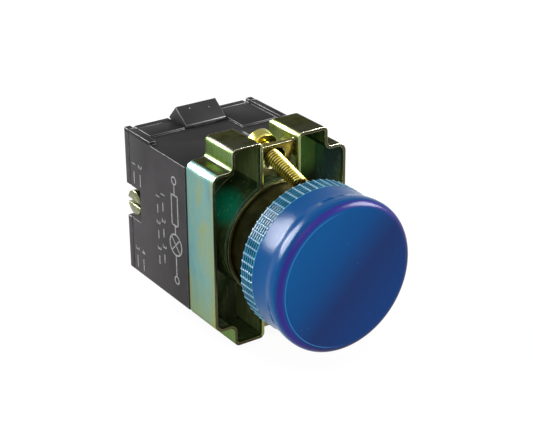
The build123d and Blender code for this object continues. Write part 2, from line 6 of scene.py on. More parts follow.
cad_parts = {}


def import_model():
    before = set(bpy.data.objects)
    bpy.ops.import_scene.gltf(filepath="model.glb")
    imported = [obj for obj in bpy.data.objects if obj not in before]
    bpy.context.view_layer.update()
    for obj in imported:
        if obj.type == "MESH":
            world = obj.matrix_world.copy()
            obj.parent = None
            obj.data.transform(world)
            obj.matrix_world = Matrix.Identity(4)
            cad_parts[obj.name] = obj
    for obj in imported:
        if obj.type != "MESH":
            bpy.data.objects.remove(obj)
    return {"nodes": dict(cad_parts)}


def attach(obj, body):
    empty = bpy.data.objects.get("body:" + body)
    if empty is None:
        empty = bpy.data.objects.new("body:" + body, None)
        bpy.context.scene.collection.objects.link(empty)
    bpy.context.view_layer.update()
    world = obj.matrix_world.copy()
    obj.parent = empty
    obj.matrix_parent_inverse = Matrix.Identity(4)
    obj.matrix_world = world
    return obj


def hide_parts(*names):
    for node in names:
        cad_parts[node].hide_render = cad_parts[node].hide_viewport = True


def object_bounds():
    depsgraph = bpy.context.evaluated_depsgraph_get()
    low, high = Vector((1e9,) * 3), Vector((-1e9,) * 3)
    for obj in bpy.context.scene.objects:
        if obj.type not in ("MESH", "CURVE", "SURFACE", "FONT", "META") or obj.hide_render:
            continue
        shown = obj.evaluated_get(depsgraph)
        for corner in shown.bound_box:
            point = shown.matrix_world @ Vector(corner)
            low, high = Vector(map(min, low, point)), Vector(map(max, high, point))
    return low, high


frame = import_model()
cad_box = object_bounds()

MM = 0.001

# The photograph's view: the direction to the camera, its distance and the framing.
VIEW_AZIMUTH = radians(-33.905)
VIEW_ELEVATION = radians(25.196)
VIEW_ROLL = radians(-0.367)
VIEW_DISTANCE = 271.79 * MM
VIEW_SIDEWAYS = 2.71 * MM
VIEW_UPWARDS = -2.557 * MM
FOCAL_LENGTH = 98.28
SENSOR_WIDTH = 36.0
NEAREST_SEEN = 10.0 * MM

# Sizes and places below are in millimetres.
# Bracket: half its width and height, its sheet, where its shoulders, humps and channels
# end, the height over the collar at which lugs and channels begin, and the lugs' back.
BRACKET_SIDE = 14.8
BRACKET_TOP = 20.0
SHEET = 0.6
SHOULDER_TOP = 15.9
HUMP_SIDE = 10.55
CHANNEL_SIDE = 3.85
OVER_COLLAR = 12.1
LUG_BACK = 4.6

# Module: the height of its top face.
DECK = 14.5

# Lens cap, on the lens axis.
LENS_FACE = -20.4
FLARE_BACK = -15.7
KNURL_FRONT = -12.0
LENS_BACK = -8.3
BODY_RADIUS = 14.36
KNURL_RADIUS = 14.38
RIB_RADIUS = 14.5
RIB_INSET = 0.15
KNURL_CORNER = 0.1
BEAD_RADIUS = 14.75
BEAD_ROUND = 1.7
BEAD_STEPS = 14
BEAD_LAND = 0.6
FACE_MARGIN = 0.6
FLARE_STEPS = 12
LENS_WALL = 1.7
THREAD_RADIUS = 12.66
SEAT_FRONT = -12.5
SEAT_WIDTH = 0.7
INNER_CORNER = 1.0
LENS_STEPS = 180
STEPS_PER_RIB = 3
FINE_GROOVES = 5
FINE_GROOVE_WIDTH = 0.34
FINE_GROOVE_DEPTH = 0.12

# Colours of the lens cap: a violet ring on the bead and a painted highlight line round the face.
VIOLET_INSIDE = 13.4
VIOLET_FULL = 13.8
FACE_HIGHLIGHT_RADIUS = 13.2
FACE_HIGHLIGHT_WIDTH = 0.16

# Clamp screws: their lug's place and tilt, their thread, how far it goes into the head,
# and the head.
LUG_HEIGHT = 15.4
LUG_FRONT = 2.0
LUG_TILT = radians(16.0)
SCREW_REACH = 8.5
SCREW_OVERLAP = 0.1
SCREW_CREST = 1.5
SCREW_ROOT = 1.2
SCREW_PITCH = 0.6
SCREW_STEPS = 36
THREAD_FLANK = 0.42 * SCREW_PITCH
THREAD_LAND = 0.10 * SCREW_PITCH
THREAD_FLOOR = 0.06 * SCREW_PITCH
SCREW_HEAD_FRONT = 3.65
SCREW_HEAD_HEIGHT = 2.2
SCREW_HEAD_RADIUS = 2.75
SCREW_HEAD_ROUND = 0.18
SCREW_HEAD_STEPS = 48
SLOT_WIDTH = 0.9
SLOT_DEPTH = 1.1

# Print on the module's left side: the face it lies on, its rise and its lines' widths.
PRINT_FACE = -14.8
PRINT_RISE = 0.03
LINE = 0.3
FINE_LINE = 0.28
CROSS_LINE = 0.26
RING_STEPS = 32

# Wiring sketch: its place from front to back, then the heights of what it shows.
SKETCH = 13.6
TERMINAL_RING = 10.4
TERMINAL_RING_RADIUS = 0.9
RESISTOR_TOP = 7.4
RESISTOR_BOTTOM = 1.2
RESISTOR_SIDE = 1.1
LAMP_SYMBOL = -2.9
LAMP_SYMBOL_RADIUS = 2.3

# The sketch's lines from the upper terminal down: each one's middle and length.
WIRES = ((8.45, 2.1), (0.2, 1.8), (-6.3, 2.3), (-8.45, 2.1))

# Numbers with a bar under each: two rows behind the sketch, and a pair at each corner.
NUMERAL_SIZE = 2.0
ROWS = (18.0, 20.0)
ROW_NUMBERS = "123"
ROW_TOP = 6.0
ROW_STEP = 5.5
ROW_BAR = 1.8
ROW_BAR_DROP = 2.6
CORNER_NUMBERS = ((8.6, "12"), (-9.6, "34"))
CORNER = 28.9
CORNER_STEP = 2.4
CORNER_BAR = 2.6
CORNER_BAR_DROP = 2.9

# Mould marks on the release tab.
MOULD_MARKS = ((-1.93, 28.73, 17.29), (2.18, 28.12, 16.86))
MOULD_MARK_RADIUS = 0.16

# Modelling: what counts as one point, as flat, as a sharp edge and as a smooth surface.
WELD = 0.001
SOLID_WELD = 0.002
FLAT = radians(0.5)
SHARP = radians(30.0)
SMOOTH = radians(40.0)
RIB_SMOOTH = radians(28.0)
THREAD_SMOOTH = radians(30.0)

# Studio: room under the part for the lower clamp screw's head, turned right out, and how
# bright the floor, the sky and their reflections are.
FLOOR_DROP = 1.8
FLOOR_SIZE = 3000.0
FLOOR_GREY = 0.82
FLOOR_GLOW = 1.08
FLOOR_GLOW_SHARE = 0.86
SKY_FILL = 0.42
LAMP_BEHIND = (-0.48, 0.74, 0.47)
LAMP_IN_FRONT = (0.75, -0.5, 0.4)
LAMP_ABOVE = (-0.4, -0.6, 0.7)


class Amount:
    """A value or colour in a finish; arithmetic on it adds the nodes that work it out."""

    def __init__(self, finish, socket):
        self.finish = finish
        self.socket = socket

    def result(self, operation, *values):
        return self.finish.add("ShaderNodeMath", {"operation": operation}, values)

    def or_less(self, limit):
        return self.result("MINIMUM", self, limit)

    def or_more(self, other):
        return self.result("MAXIMUM", self, other)

    def __add__(self, other):
        return self.result("ADD", self, other)

    __radd__ = __add__

    def __sub__(self, other):
        return self.result("SUBTRACT", self, other)

    def __rsub__(self, other):
        return self.result("SUBTRACT", other, self)

    def __mul__(self, other):
        return self.result("MULTIPLY", self, other)

    __rmul__ = __mul__

    def __truediv__(self, other):
        return self.result("DIVIDE", self, other)

    def __pow__(self, other):
        return self.result("POWER", self, other)

    def __abs__(self):
        return self.result("ABSOLUTE", self)


class Finish:
    """A material on one Principled shader, with the nodes that vary it over the surface."""

    def __init__(self, name, **even):
        self.material = bpy.data.materials.new(name)
        self.material.use_nodes = True
        self.tree = self.material.node_tree
        self.tree.nodes.clear()
        self.shader = self.tree.nodes.new("ShaderNodeBsdfPrincipled")
        output = self.tree.nodes.new("ShaderNodeOutputMaterial")
        self.tree.links.new(self.shader.outputs["BSDF"], output.inputs["Surface"])
        for socket, value in even.items():
            self.shader.inputs[socket.replace("_", " ")].default_value = value
        place = self.add("ShaderNodeTexCoord", output="Object")
        self.place = self.vector("SCALE", {0: place, "Scale": 1.0 / MM})
        self.x, self.y, self.z = self.parts(self.place)

    def add(self, kind, settings=(), values=(), output=0):
        """Adds a node: its settings first, then its sockets' values or links."""
        node = self.tree.nodes.new(kind)
        for name, value in dict(settings).items():
            if name == "stops":
                ramp = node.color_ramp
                while len(ramp.elements) < len(value):
                    ramp.elements.new(1.0)
                for element, (position, colour) in zip(ramp.elements, value):
                    element.position = position
                    element.color = (*colour, 1.0)
            else:
                setattr(node, name, value)
        pairs = values.items() if isinstance(values, dict) else enumerate(values)
        for name, value in pairs:
            socket = node.inputs[name]
            if isinstance(value, Amount):
                self.tree.links.new(value.socket, socket)
            else:
                socket.default_value = value
        return Amount(self, node.outputs[output])

    def vector(self, operation, values):
        return self.add("ShaderNodeVectorMath", {"operation": operation}, values)

    def parts(self, vector):
        """The three parts of a vector."""
        first = self.add("ShaderNodeSeparateXYZ", values=[vector])
        return [Amount(self, socket) for socket in first.socket.node.outputs]

    def stretch(self, x, y, z):
        """The place on the object, stretched by a factor along each axis."""
        return self.vector("MULTIPLY", [self.place, (x, y, z)])

    def noise(self, scale, detail=2.0, roughness=0.5, place=None, bend=0.0):
        values = {
            "Vector": place or self.place,
            "Scale": scale,
            "Detail": detail,
            "Roughness": roughness,
            "Distortion": bend,
        }
        return self.add("ShaderNodeTexNoise", values=values)

    def speckle(self, scale, place=None):
        """The distance to the nearest of many scattered points."""
        values = {"Vector": place or self.place, "Scale": scale}
        return self.add("ShaderNodeTexVoronoi", values=values)

    def fade(self, value, low, high):
        """0 below low, 1 above high and smooth between them."""
        settings = {"interpolation_type": "SMOOTHSTEP"}
        return self.add("ShaderNodeMapRange", settings, {0: value, 1: low, 2: high})

    def under(self, value, limit, soft=0.1):
        """1 below a limit, fading to 0 at it over a soft width."""
        return self.fade(limit - value, 0.0, soft)

    def band(self, value, low, high, soft):
        """1 between low and high, fading to 0 over a soft width."""
        rise = self.fade(value, low - soft, low + soft)
        return rise * (1 - self.fade(value, high - soft, high + soft))

    def blot(self, centre, reach):
        """1 at a place in millimetres, fading to 0 at a reach along each axis."""
        parts = zip((self.x, self.y, self.z), centre, reach)
        x, y, z = [(part - middle) / far for part, middle, far in parts]
        return 1 - self.fade(x * x + y * y + z * z, 0.05, 1.0)

    def ramp(self, value, *stops):
        return self.add("ShaderNodeValToRGB", {"stops": stops}, [value])

    def mix(self, share, first, second):
        """A colour between two, by the share of the second."""
        values = {0: share, 6: paint(first), 7: paint(second)}
        return self.add("ShaderNodeMix", {"data_type": "RGBA"}, values, output=2)

    def bump(self, height, strength, depth):
        """A relief of a depth in millimetres."""
        values = {"Height": height, "Strength": strength, "Distance": depth * MM}
        return self.add("ShaderNodeBump", values=values)

    def wear(self, **sockets):
        """Links what varies to the shader's sockets and hands back the material."""
        for name, value in sockets.items():
            self.tree.links.new(value.socket, self.shader.inputs[name.replace("_", " ")])
        return self.material


def paint(colour):
    return (*colour, 1.0) if isinstance(colour, tuple) else colour


# Finishes
def bracket_finish():
    """Zinc under an iridescent chromate film that shifts from blue-green to gold, with painted
    shade on its upper faces and inside its pocket.
    """
    film = Finish("chromated_bracket_metal", Specular_Tint=(0.46, 0.46, 0.38, 1.0))
    drift = film.noise(0.10, 3.0, 0.55, film.stretch(1.0, 2.2, 0.8), bend=0.6)
    cloud = film.noise(0.35, 4.0, 0.6, film.stretch(1.0, 1.3, 0.5))
    streak = film.noise(0.9, 3.0, 0.6, film.stretch(1.0, 1.6, 0.12))
    mint = film.ramp(
        drift + (streak - 0.5) * 0.25,
        (0.28, (0.17, 0.22, 0.34)),
        (0.40, (0.16, 0.36, 0.39)),
        (0.52, (0.21, 0.38, 0.35)),
        (0.64, (0.28, 0.37, 0.23)),
        (0.76, (0.18, 0.36, 0.35)),
    )
    low = 1 - film.fade(film.z, -16.0, -2.0)
    front = 1 - film.fade(film.y, 0.3, 2.6)
    side = film.mix(low * 0.55 + front * 0.4, mint, (0.30, 0.34, 0.12))
    # Painted shade: the flat upper faces of the humps and shoulders are painted dark olive, in
    # place of the dark reflection they show.
    level = film.ramp(
        cloud,
        (0.30, (0.030, 0.031, 0.024)),
        (0.55, (0.054, 0.056, 0.042)),
        (0.80, (0.032, 0.040, 0.025)),
    )
    height = abs(film.z)
    across = abs(film.x)
    step = film.fade(height, SHOULDER_TOP - 0.15, SHOULDER_TOP - 0.02)
    hump_side = film.mix(streak, (0.07, 0.17, 0.05), (0.20, 0.26, 0.10))
    shoulders = step * film.fade(across, HUMP_SIDE + 0.2, HUMP_SIDE + 0.4)
    painted_dark_tops = film.fade(height, BRACKET_TOP - 0.7, BRACKET_TOP - 0.3) + shoulders
    colour = film.mix(step, side, hump_side)
    colour = film.mix(painted_dark_tops.or_less(1.0), colour, level)

    # Painted shade in the pocket inside: the main room, and the rooms of the humps above and below
    # it, painted dark green and less metallic, with a teal patch, a painted patch of light on the
    # right and pale streaks.
    room = SHEET - 0.05
    core = film.under(across, BRACKET_SIDE - room) * film.under(height, SHOULDER_TOP - room)
    hump = film.under(across, HUMP_SIDE - room)
    hump = hump * film.fade(across, CHANNEL_SIDE + 0.35, CHANNEL_SIDE + 0.45)
    hump = hump * film.under(height, BRACKET_TOP - room)
    inside = core.or_more(hump) * film.fade(film.y, 0.25, 1.4)
    teal = film.blot((-9.5, 4.8, 7.5), (4.5, 6.0, 4.5))
    # Painted light: a brighter patch on the right of the pocket.
    bright = film.blot((12.0, 9.0, 13.0), (5.0, 5.0, 7.0))
    shade = film.ramp(cloud, (0.32, (0.014, 0.030, 0.011)), (0.70, (0.050, 0.070, 0.024)))
    shade = film.mix(teal * 0.9, shade, (0.0, 0.20, 0.11))
    shade = film.mix(bright * 0.9, shade, (0.20, 0.38, 0.10))
    # Pale streaks over the pocket's painted shade.
    pale_streak = film.band(streak, 0.64, 0.70, 0.02)
    shade = film.mix(pale_streak * 0.35, shade, (0.30, 0.36, 0.08))
    colour = film.mix(inside, colour, shade)

    # The cut rim in front, the lugs and the floors of the channels.
    rim = (1 - film.fade(film.y, 0.02, 0.06)) * 0.9
    colour = film.mix(rim, colour, (0.05, 0.042, 0.022))
    lug = film.under(across, CHANNEL_SIDE + 0.01, 0.04)
    lug = lug * film.fade(height, OVER_COLLAR - 0.05, OVER_COLLAR)
    lug = lug * film.under(film.y, LUG_BACK, 0.2)
    gold = film.ramp(cloud, (0.3, (0.065, 0.054, 0.018)), (0.7, (0.16, 0.135, 0.05)))
    colour = film.mix(lug, colour, gold)
    channel = film.under(across, CHANNEL_SIDE + 0.65)
    channel = channel * film.fade(height, OVER_COLLAR - 0.2, OVER_COLLAR) * (1 - lug)
    floor_tint = film.mix(streak, (0.16, 0.22, 0.06), (0.34, 0.38, 0.16))
    colour = film.mix(channel * 0.9, colour, floor_tint)
    grain = film.noise(9.0, 3.0, 0.6)
    return film.wear(
        Base_Color=colour,
        Metallic=1 - inside * 0.7,
        Roughness=0.17 + cloud * 0.12 + grain * 0.06,
        Normal=film.bump(grain, 0.12, 0.06),
    )


def bracket_edge_finish():
    """The bracket's rounded edges, painted pale as a highlight towards the top and brown as a
    painted reflection lower down.
    """
    film = Finish("chromated_bracket_edge", Metallic=1.0)
    cloud = film.noise(0.8, 3.0, 0.6)
    pale = film.ramp(cloud, (0.35, (0.52, 0.56, 0.34)), (0.65, (0.80, 0.80, 0.66)))
    brown = film.ramp(cloud, (0.35, (0.12, 0.10, 0.05)), (0.65, (0.30, 0.28, 0.12)))
    upper = film.fade(film.z, 12.0, 15.5)
    return film.wear(Base_Color=film.mix(upper, brown, pale), Roughness=0.16 + cloud * 0.12)


def bush_finish():
    film = Finish("chromated_bush_metal", Metallic=1.0)
    cloud = film.noise(0.3, 4.0, 0.6)
    colour = film.ramp(cloud, (0.3, (0.16, 0.13, 0.05)), (0.7, (0.34, 0.32, 0.14)))
    turning = film.add(
        "ShaderNodeTexWave",
        {"wave_type": "BANDS", "bands_direction": "Y"},
        {"Vector": film.place, "Scale": 1.6, "Distortion": 0.4},
    )
    return film.wear(
        Base_Color=colour, Roughness=0.24 + cloud * 0.12, Normal=film.bump(turning, 0.3, 0.04)
    )


def lens_finish():
    """Deep blue moulding: ribs with a painted pale highlight, a teal band between them with
    painted shade in its grooves, a violet rim, and painted shade over the face and the side.
    """
    film = Finish("blue_lens_moulding", IOR=1.5, Specular_IOR_Level=0.09)
    slope = film.x - film.z
    # Painted shade: the face is lighter towards the upper left and darker towards the lower right,
    # the side darker towards the bottom, and the violet ring darker towards the lower right.
    face = film.ramp(
        slope / 40 + 0.5,
        (0.10, (0.0, 0.074, 0.25)),
        (0.35, (0.0, 0.056, 0.21)),
        (0.58, (0.006, 0.025, 0.12)),
        (0.95, (0.002, 0.036, 0.165)),
    )
    side = film.ramp(
        (film.x * 0.2 - film.z) / 30 + 0.5,
        (0.1, (0.0, 0.066, 0.235)),
        (0.6, (0.0, 0.078, 0.255)),
        (0.80, (0.012, 0.062, 0.21)),
        (0.98, (0.008, 0.012, 0.08)),
    )
    radius = (film.x * film.x + film.z * film.z) ** 0.5
    ahead = film.fade(film.y, LENS_FACE + 0.6, LENS_FACE + 1.1)
    shade = film.fade(slope, -8.0, 18.0)
    violet = film.mix(shade, (0.030, 0.028, 0.24), (0.008, 0.007, 0.06))
    colour = film.mix(film.fade(radius, VIOLET_INSIDE, VIOLET_FULL), face, violet)
    colour = film.mix(ahead, colour, side)
    # Painted highlight: a pale blue line round the face, on its left side only.
    half = FACE_HIGHLIGHT_WIDTH / 2
    outline = film.band(radius, FACE_HIGHLIGHT_RADIUS - half, FACE_HIGHLIGHT_RADIUS + half, 0.06)
    outline = outline * (1 - film.fade(film.y, LENS_FACE + 0.2, LENS_FACE + 0.3))
    left = 1 - film.fade(film.x, -7.0, 1.0)
    colour = film.mix(outline * left * 0.7, colour, (0.05, 0.22, 0.52))
    band = film.fade(film.y, KNURL_FRONT - 0.05, KNURL_FRONT + 0.05)
    flats = film.ramp(film.noise(0.35, 2.0), (0.35, (0.0, 0.12, 0.23)), (0.65, (0.03, 0.21, 0.33)))
    colour = film.mix(band, colour, flats)
    # Painted shade in the fine grooves of the knurled band.
    grooves = band * (1 - film.fade(radius, KNURL_RADIUS - 0.06, KNURL_RADIUS - 0.005))
    colour = film.mix(grooves, colour, (0.0, 0.012, 0.035))
    # Painted highlight: the rib tops are painted pale.
    ribs = band * film.fade(radius, KNURL_RADIUS + 0.04, RIB_RADIUS - 0.02)
    colour = film.mix(ribs * 0.85, colour, (0.30, 0.46, 0.62))
    dust = 1 - film.fade(film.speckle(0.55), 0.02, 0.05)
    colour = film.mix(dust * 0.5, colour, (0.20, 0.30, 0.55))
    haze = film.noise(0.5, 3.0, 0.5)
    ripple = film.noise(0.22, 2.0, 0.5)
    return film.wear(
        Base_Color=colour, Roughness=0.18 + haze * 0.08, Normal=film.bump(ripple, 0.2, 0.3)
    )


def gold_screw_finish():
    """Yellow passivated steel, bright on the thread's crests, with painted shade in its roots and
    on the head."""
    film = Finish("gold_passivated_steel", Metallic=1.0)
    cloud = film.noise(0.9, 3.0, 0.6)
    grain = film.noise(7.0, 2.0, 0.5)
    colour = film.ramp(
        cloud,
        (0.30, (0.36, 0.28, 0.05)),
        (0.50, (0.66, 0.56, 0.12)),
        (0.72, (0.50, 0.50, 0.16)),
    )
    along = film.y - LUG_FRONT
    upwards = abs(film.z) - LUG_HEIGHT
    aside = along * sin(LUG_TILT) - upwards * cos(LUG_TILT)
    radius = (film.x * film.x + aside * aside) ** 0.5
    # Painted shade on the head, which sits behind the lug.
    head = film.fade(along, SCREW_HEAD_FRONT - 0.65, SCREW_HEAD_FRONT - 0.25)
    colour = film.mix(head * 0.7, colour, (0.16, 0.15, 0.04))
    # Painted shade in the thread's roots.
    root_shade = 1 - film.fade(radius, SCREW_ROOT + 0.04, SCREW_CREST - 0.03)
    colour = film.mix(root_shade * 0.9, colour, (0.045, 0.032, 0.006))
    return film.wear(
        Base_Color=colour, Roughness=0.18 + grain * 0.12, Normal=film.bump(grain, 0.2, 0.02)
    )


def black_finish(name, pale, dark, seed):
    """Black thermoplastic with a fine grain and faint flow marks, with painted shade that makes it
    deeper black on top.
    """
    film = Finish(name, IOR=1.48, Specular_IOR_Level=0.09)
    shifted = film.vector("ADD", [film.place, (seed, 2 * seed, -seed)])
    flow = film.noise(0.12, 3.0, 0.55, shifted, bend=0.5)
    grain = film.noise(11.0, 3.0, 0.65, shifted)
    dust = 1 - film.fade(film.speckle(1.3, shifted), 0.02, 0.05)
    colour = film.ramp(flow, (0.3, dark), (0.7, pale))
    # Painted shade: the top, above the deck's edge, is painted near black.
    upper = film.fade(film.z, DECK - 0.2, DECK + 0.1)
    colour = film.mix(upper * 0.9, colour, (0.002, 0.002, 0.002))
    colour = film.mix(dust * 0.35, colour, (0.16, 0.16, 0.16))
    return film.wear(
        Base_Color=colour,
        Roughness=0.40 + flow * 0.14 + grain * 0.12,
        Normal=film.bump(grain, 0.35, 0.02),
    )


def edge_finish():
    """The black mouldings' edges, painted slightly paler as a highlight."""
    film = Finish("black_moulding_edge", IOR=1.48, Specular_IOR_Level=0.4)
    edge_highlight_noise = film.noise(0.9, 4.0, 0.65)
    # Painted highlight on the edges.
    colour = film.ramp(edge_highlight_noise, (0.35, (0.030, 0.028, 0.029)), (0.65, (0.10, 0.095, 0.097)))
    return film.wear(Base_Color=colour, Roughness=0.34 + edge_highlight_noise * 0.2)


def gasket_finish():
    film = Finish("gasket_rubber_black", IOR=1.5)
    grain = film.noise(5.0, 4.0, 0.6)
    colour = film.ramp(grain, (0.3, (0.010, 0.010, 0.011)), (0.7, (0.028, 0.028, 0.030)))
    return film.wear(
        Base_Color=colour, Roughness=0.62 + grain * 0.2, Normal=film.bump(grain, 0.4, 0.04)
    )


def metal_finish(name, first, second, scale, rough):
    film = Finish(name, Metallic=1.0)
    cloud = film.noise(scale, 4.0, 0.6)
    grain = film.noise(scale * 9, 2.0, 0.5)
    colour = film.ramp(cloud, (0.3, first), (0.7, second))
    return film.wear(
        Base_Color=colour, Roughness=rough + grain * 0.12, Normal=film.bump(grain, 0.2, 0.02)
    )


def bulb_finish():
    """Clear glass in front of a nickelled base with a solder tip."""
    film = Finish("lamp_glass_and_base", IOR=1.5)
    base = film.fade(film.y, 0.35, 0.6)
    cloud = film.noise(0.6, 3.0, 0.6)
    metal = film.ramp(cloud, (0.3, (0.55, 0.52, 0.47)), (0.7, (0.72, 0.70, 0.66)))
    glass = film.ramp(cloud, (0.3, (0.80, 0.86, 0.86)), (0.7, (0.90, 0.94, 0.94)))
    return film.wear(
        Base_Color=film.mix(base, glass, metal), Metallic=base, Roughness=0.08 + cloud * 0.16
    )


def ceramic_finish():
    film = Finish("resistor_ceramic_sand", IOR=1.5)
    cloud = film.noise(1.6, 4.0, 0.6)
    colour = film.ramp(cloud, (0.3, (0.42, 0.32, 0.20)), (0.7, (0.56, 0.45, 0.30)))
    leads = film.fade(abs(film.x), 4.9, 5.0)
    return film.wear(
        Base_Color=film.mix(leads, colour, (0.62, 0.60, 0.56)),
        Metallic=leads,
        Roughness=0.35 + cloud * 0.3,
        Normal=film.bump(cloud, 0.3, 0.05),
    )


def print_finish():
    film = Finish("white_print_ink", IOR=1.45)
    worn = film.noise(2.6, 4.0, 0.7)
    colour = film.ramp(worn, (0.32, (0.10, 0.10, 0.10)), (0.50, (0.30, 0.30, 0.31)))
    return film.wear(Base_Color=colour, Roughness=0.5 + worn * 0.2)


FINISHES = {
    "chromated_bracket": bracket_finish(),
    "chromated_bush": bush_finish(),
    "gasket_rubber": gasket_finish(),
    "blue_lens": lens_finish(),
    "gold_screw": gold_screw_finish(),
    "black_moulding": black_finish(
        "black_module_moulding", (0.048, 0.044, 0.047), (0.032, 0.030, 0.031), 0.0
    ),
    "black_cover": black_finish(
        "black_cover_moulding", (0.062, 0.057, 0.060), (0.043, 0.040, 0.042), 7.0
    ),
    "black_tab": black_finish(
        "black_tab_moulding", (0.38, 0.36, 0.365), (0.26, 0.245, 0.25), 19.0
    ),
    "spring_steel": metal_finish(
        "spring_steel_bright", (0.42, 0.42, 0.43), (0.62, 0.62, 0.63), 0.8, 0.2
    ),
    "bulb_glass": bulb_finish(),
    "shell_brass": metal_finish(
        "shell_brass_plated", (0.66, 0.50, 0.25), (0.80, 0.66, 0.38), 0.5, 0.24
    ),
    "contact_brass": metal_finish(
        "contact_brass_bright", (0.70, 0.52, 0.24), (0.84, 0.66, 0.34), 0.7, 0.2
    ),
    "carrier_moulding": black_finish(
        "carrier_moulding_brown", (0.105, 0.052, 0.026), (0.060, 0.030, 0.016), 31.0
    ),
    "resistor_ceramic": ceramic_finish(),
    "terminal_metal": metal_finish(
        "terminal_plated_pale", (0.07, 0.078, 0.03), (0.32, 0.335, 0.20), 0.5, 0.2
    ),
}

EDGES = {
    "chromated_bracket": bracket_edge_finish(),
    "black_moulding": edge_finish(),
}
EDGES["black_cover"] = EDGES["black_moulding"]
EDGES["black_tab"] = EDGES["black_moulding"]
PRINT = print_finish()

SLOT_NODES = {
    "chromated_bracket": ["mounting_bracket"],
    "chromated_bush": ["panel_bush"],
    "gasket_rubber": ["panel_gasket"],
    "blue_lens": ["lens_cap"],
    "gold_screw": ["clamp_screw_top", "clamp_screw_bottom"],
    "black_moulding": ["module_housing"],
    "black_cover": ["rear_cover"],
    "black_tab": ["release_tab"],
    "spring_steel": ["release_spring", "contact_spring"],
    "bulb_glass": ["bulb"],
    "shell_brass": ["lamp_shell"],
    "contact_brass": ["centre_contact", "contact_lead", "shell_lead"],
    "carrier_moulding": ["contact_carrier"],
    "resistor_ceramic": ["series_resistor"],
    "terminal_metal": [
        "terminal_plate_left",
        "terminal_plate_right",
        "terminal_screw_left",
        "terminal_screw_right",
        "saddle_clamp_left",
        "saddle_clamp_right",
    ],
}


def give_finish(piece, slot):
    piece.data.materials.clear()
    piece.data.materials.append(FINISHES[slot])


for slot, names in SLOT_NODES.items():
    for name in names:
        give_finish(frame["nodes"][name], slot)


# Modelling helpers
def take(piece):
    """Makes a piece the only selected and active one."""
    bpy.ops.object.select_all(action="DESELECT")
    piece.select_set(True)
    bpy.context.view_layer.objects.active = piece


def latest(name):
    piece = bpy.context.active_object
    piece.name = name
    return piece


def pick_faces(piece, wanted):
    """In edit mode, selects the faces that a test on them accepts."""
    bpy.ops.mesh.select_mode(type="FACE")
    bpy.ops.mesh.select_all(action="DESELECT")
    bpy.ops.object.mode_set(mode="OBJECT")
    for face in piece.data.polygons:
        face.select = wanted(face)
    bpy.ops.object.mode_set(mode="EDIT")


def apply(piece, kind, **settings):
    """Adds a modifier with its settings and applies it."""
    take(piece)
    modifier = piece.modifiers.new(kind.title(), kind)
    for name, value in settings.items():
        setattr(modifier, name, value)
    bpy.ops.object.modifier_apply(modifier=modifier.name)


def softened(piece, width, segments=2, finish=-1):
    """Rounds a piece's sharp edges by a width in millimetres and shades it smooth."""
    apply(
        piece,
        "BEVEL",
        width=width * MM,
        segments=segments,
        limit_method="ANGLE",
        angle_limit=SHARP,
        material=finish,
    )
    take(piece)
    bpy.ops.object.shade_smooth_by_angle(angle=SMOOTH)


def refined(node, slot, body, width):
    """A smooth copy of a solid with its small edge rounds, in place of the plain one."""
    piece = bpy.data.objects.new(node + "_finished", frame["nodes"][node].data.copy())
    bpy.context.scene.collection.objects.link(piece)
    take(piece)
    bpy.ops.object.mode_set(mode="EDIT")
    bpy.ops.mesh.select_all(action="SELECT")
    bpy.ops.mesh.remove_doubles(threshold=SOLID_WELD * MM)
    bpy.ops.mesh.dissolve_limited(angle_limit=FLAT)
    bpy.ops.object.mode_set(mode="OBJECT")
    if slot in EDGES:
        piece.data.materials.append(EDGES[slot])
    softened(piece, width, finish=len(piece.data.materials) - 1)
    fitted(piece, body, node)


def fitted(piece, body, node):
    """Attaches a piece to its body and hides the node that it stands for."""
    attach(piece, body)
    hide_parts(node)


def turned(name, outline, steps):
    """A body of revolution about the lens axis from radii and places in millimetres."""
    bpy.ops.object.select_all(action="DESELECT")
    bpy.ops.mesh.primitive_plane_add(size=MM)
    piece = latest(name)
    bpy.ops.object.mode_set(mode="EDIT")
    bpy.ops.mesh.merge(type="CENTER")
    start = Vector((outline[0][0], outline[0][1], 0)) * MM
    bpy.ops.transform.translate(value=start)
    for before, after in zip(outline, outline[1:]):
        move = Vector((after[0] - before[0], after[1] - before[1], 0)) * MM
        bpy.ops.mesh.extrude_region_move(TRANSFORM_OT_translate={"value": move})
    bpy.ops.mesh.select_all(action="SELECT")
    bpy.ops.mesh.spin(steps=steps, angle=2 * pi, center=(0, 0, 0), axis=(0, 1, 0))
    bpy.ops.mesh.select_all(action="SELECT")
    bpy.ops.mesh.remove_doubles(threshold=WELD * MM)
    bpy.ops.mesh.normals_make_consistent(inside=False)
    bpy.ops.object.mode_set(mode="OBJECT")
    return piece


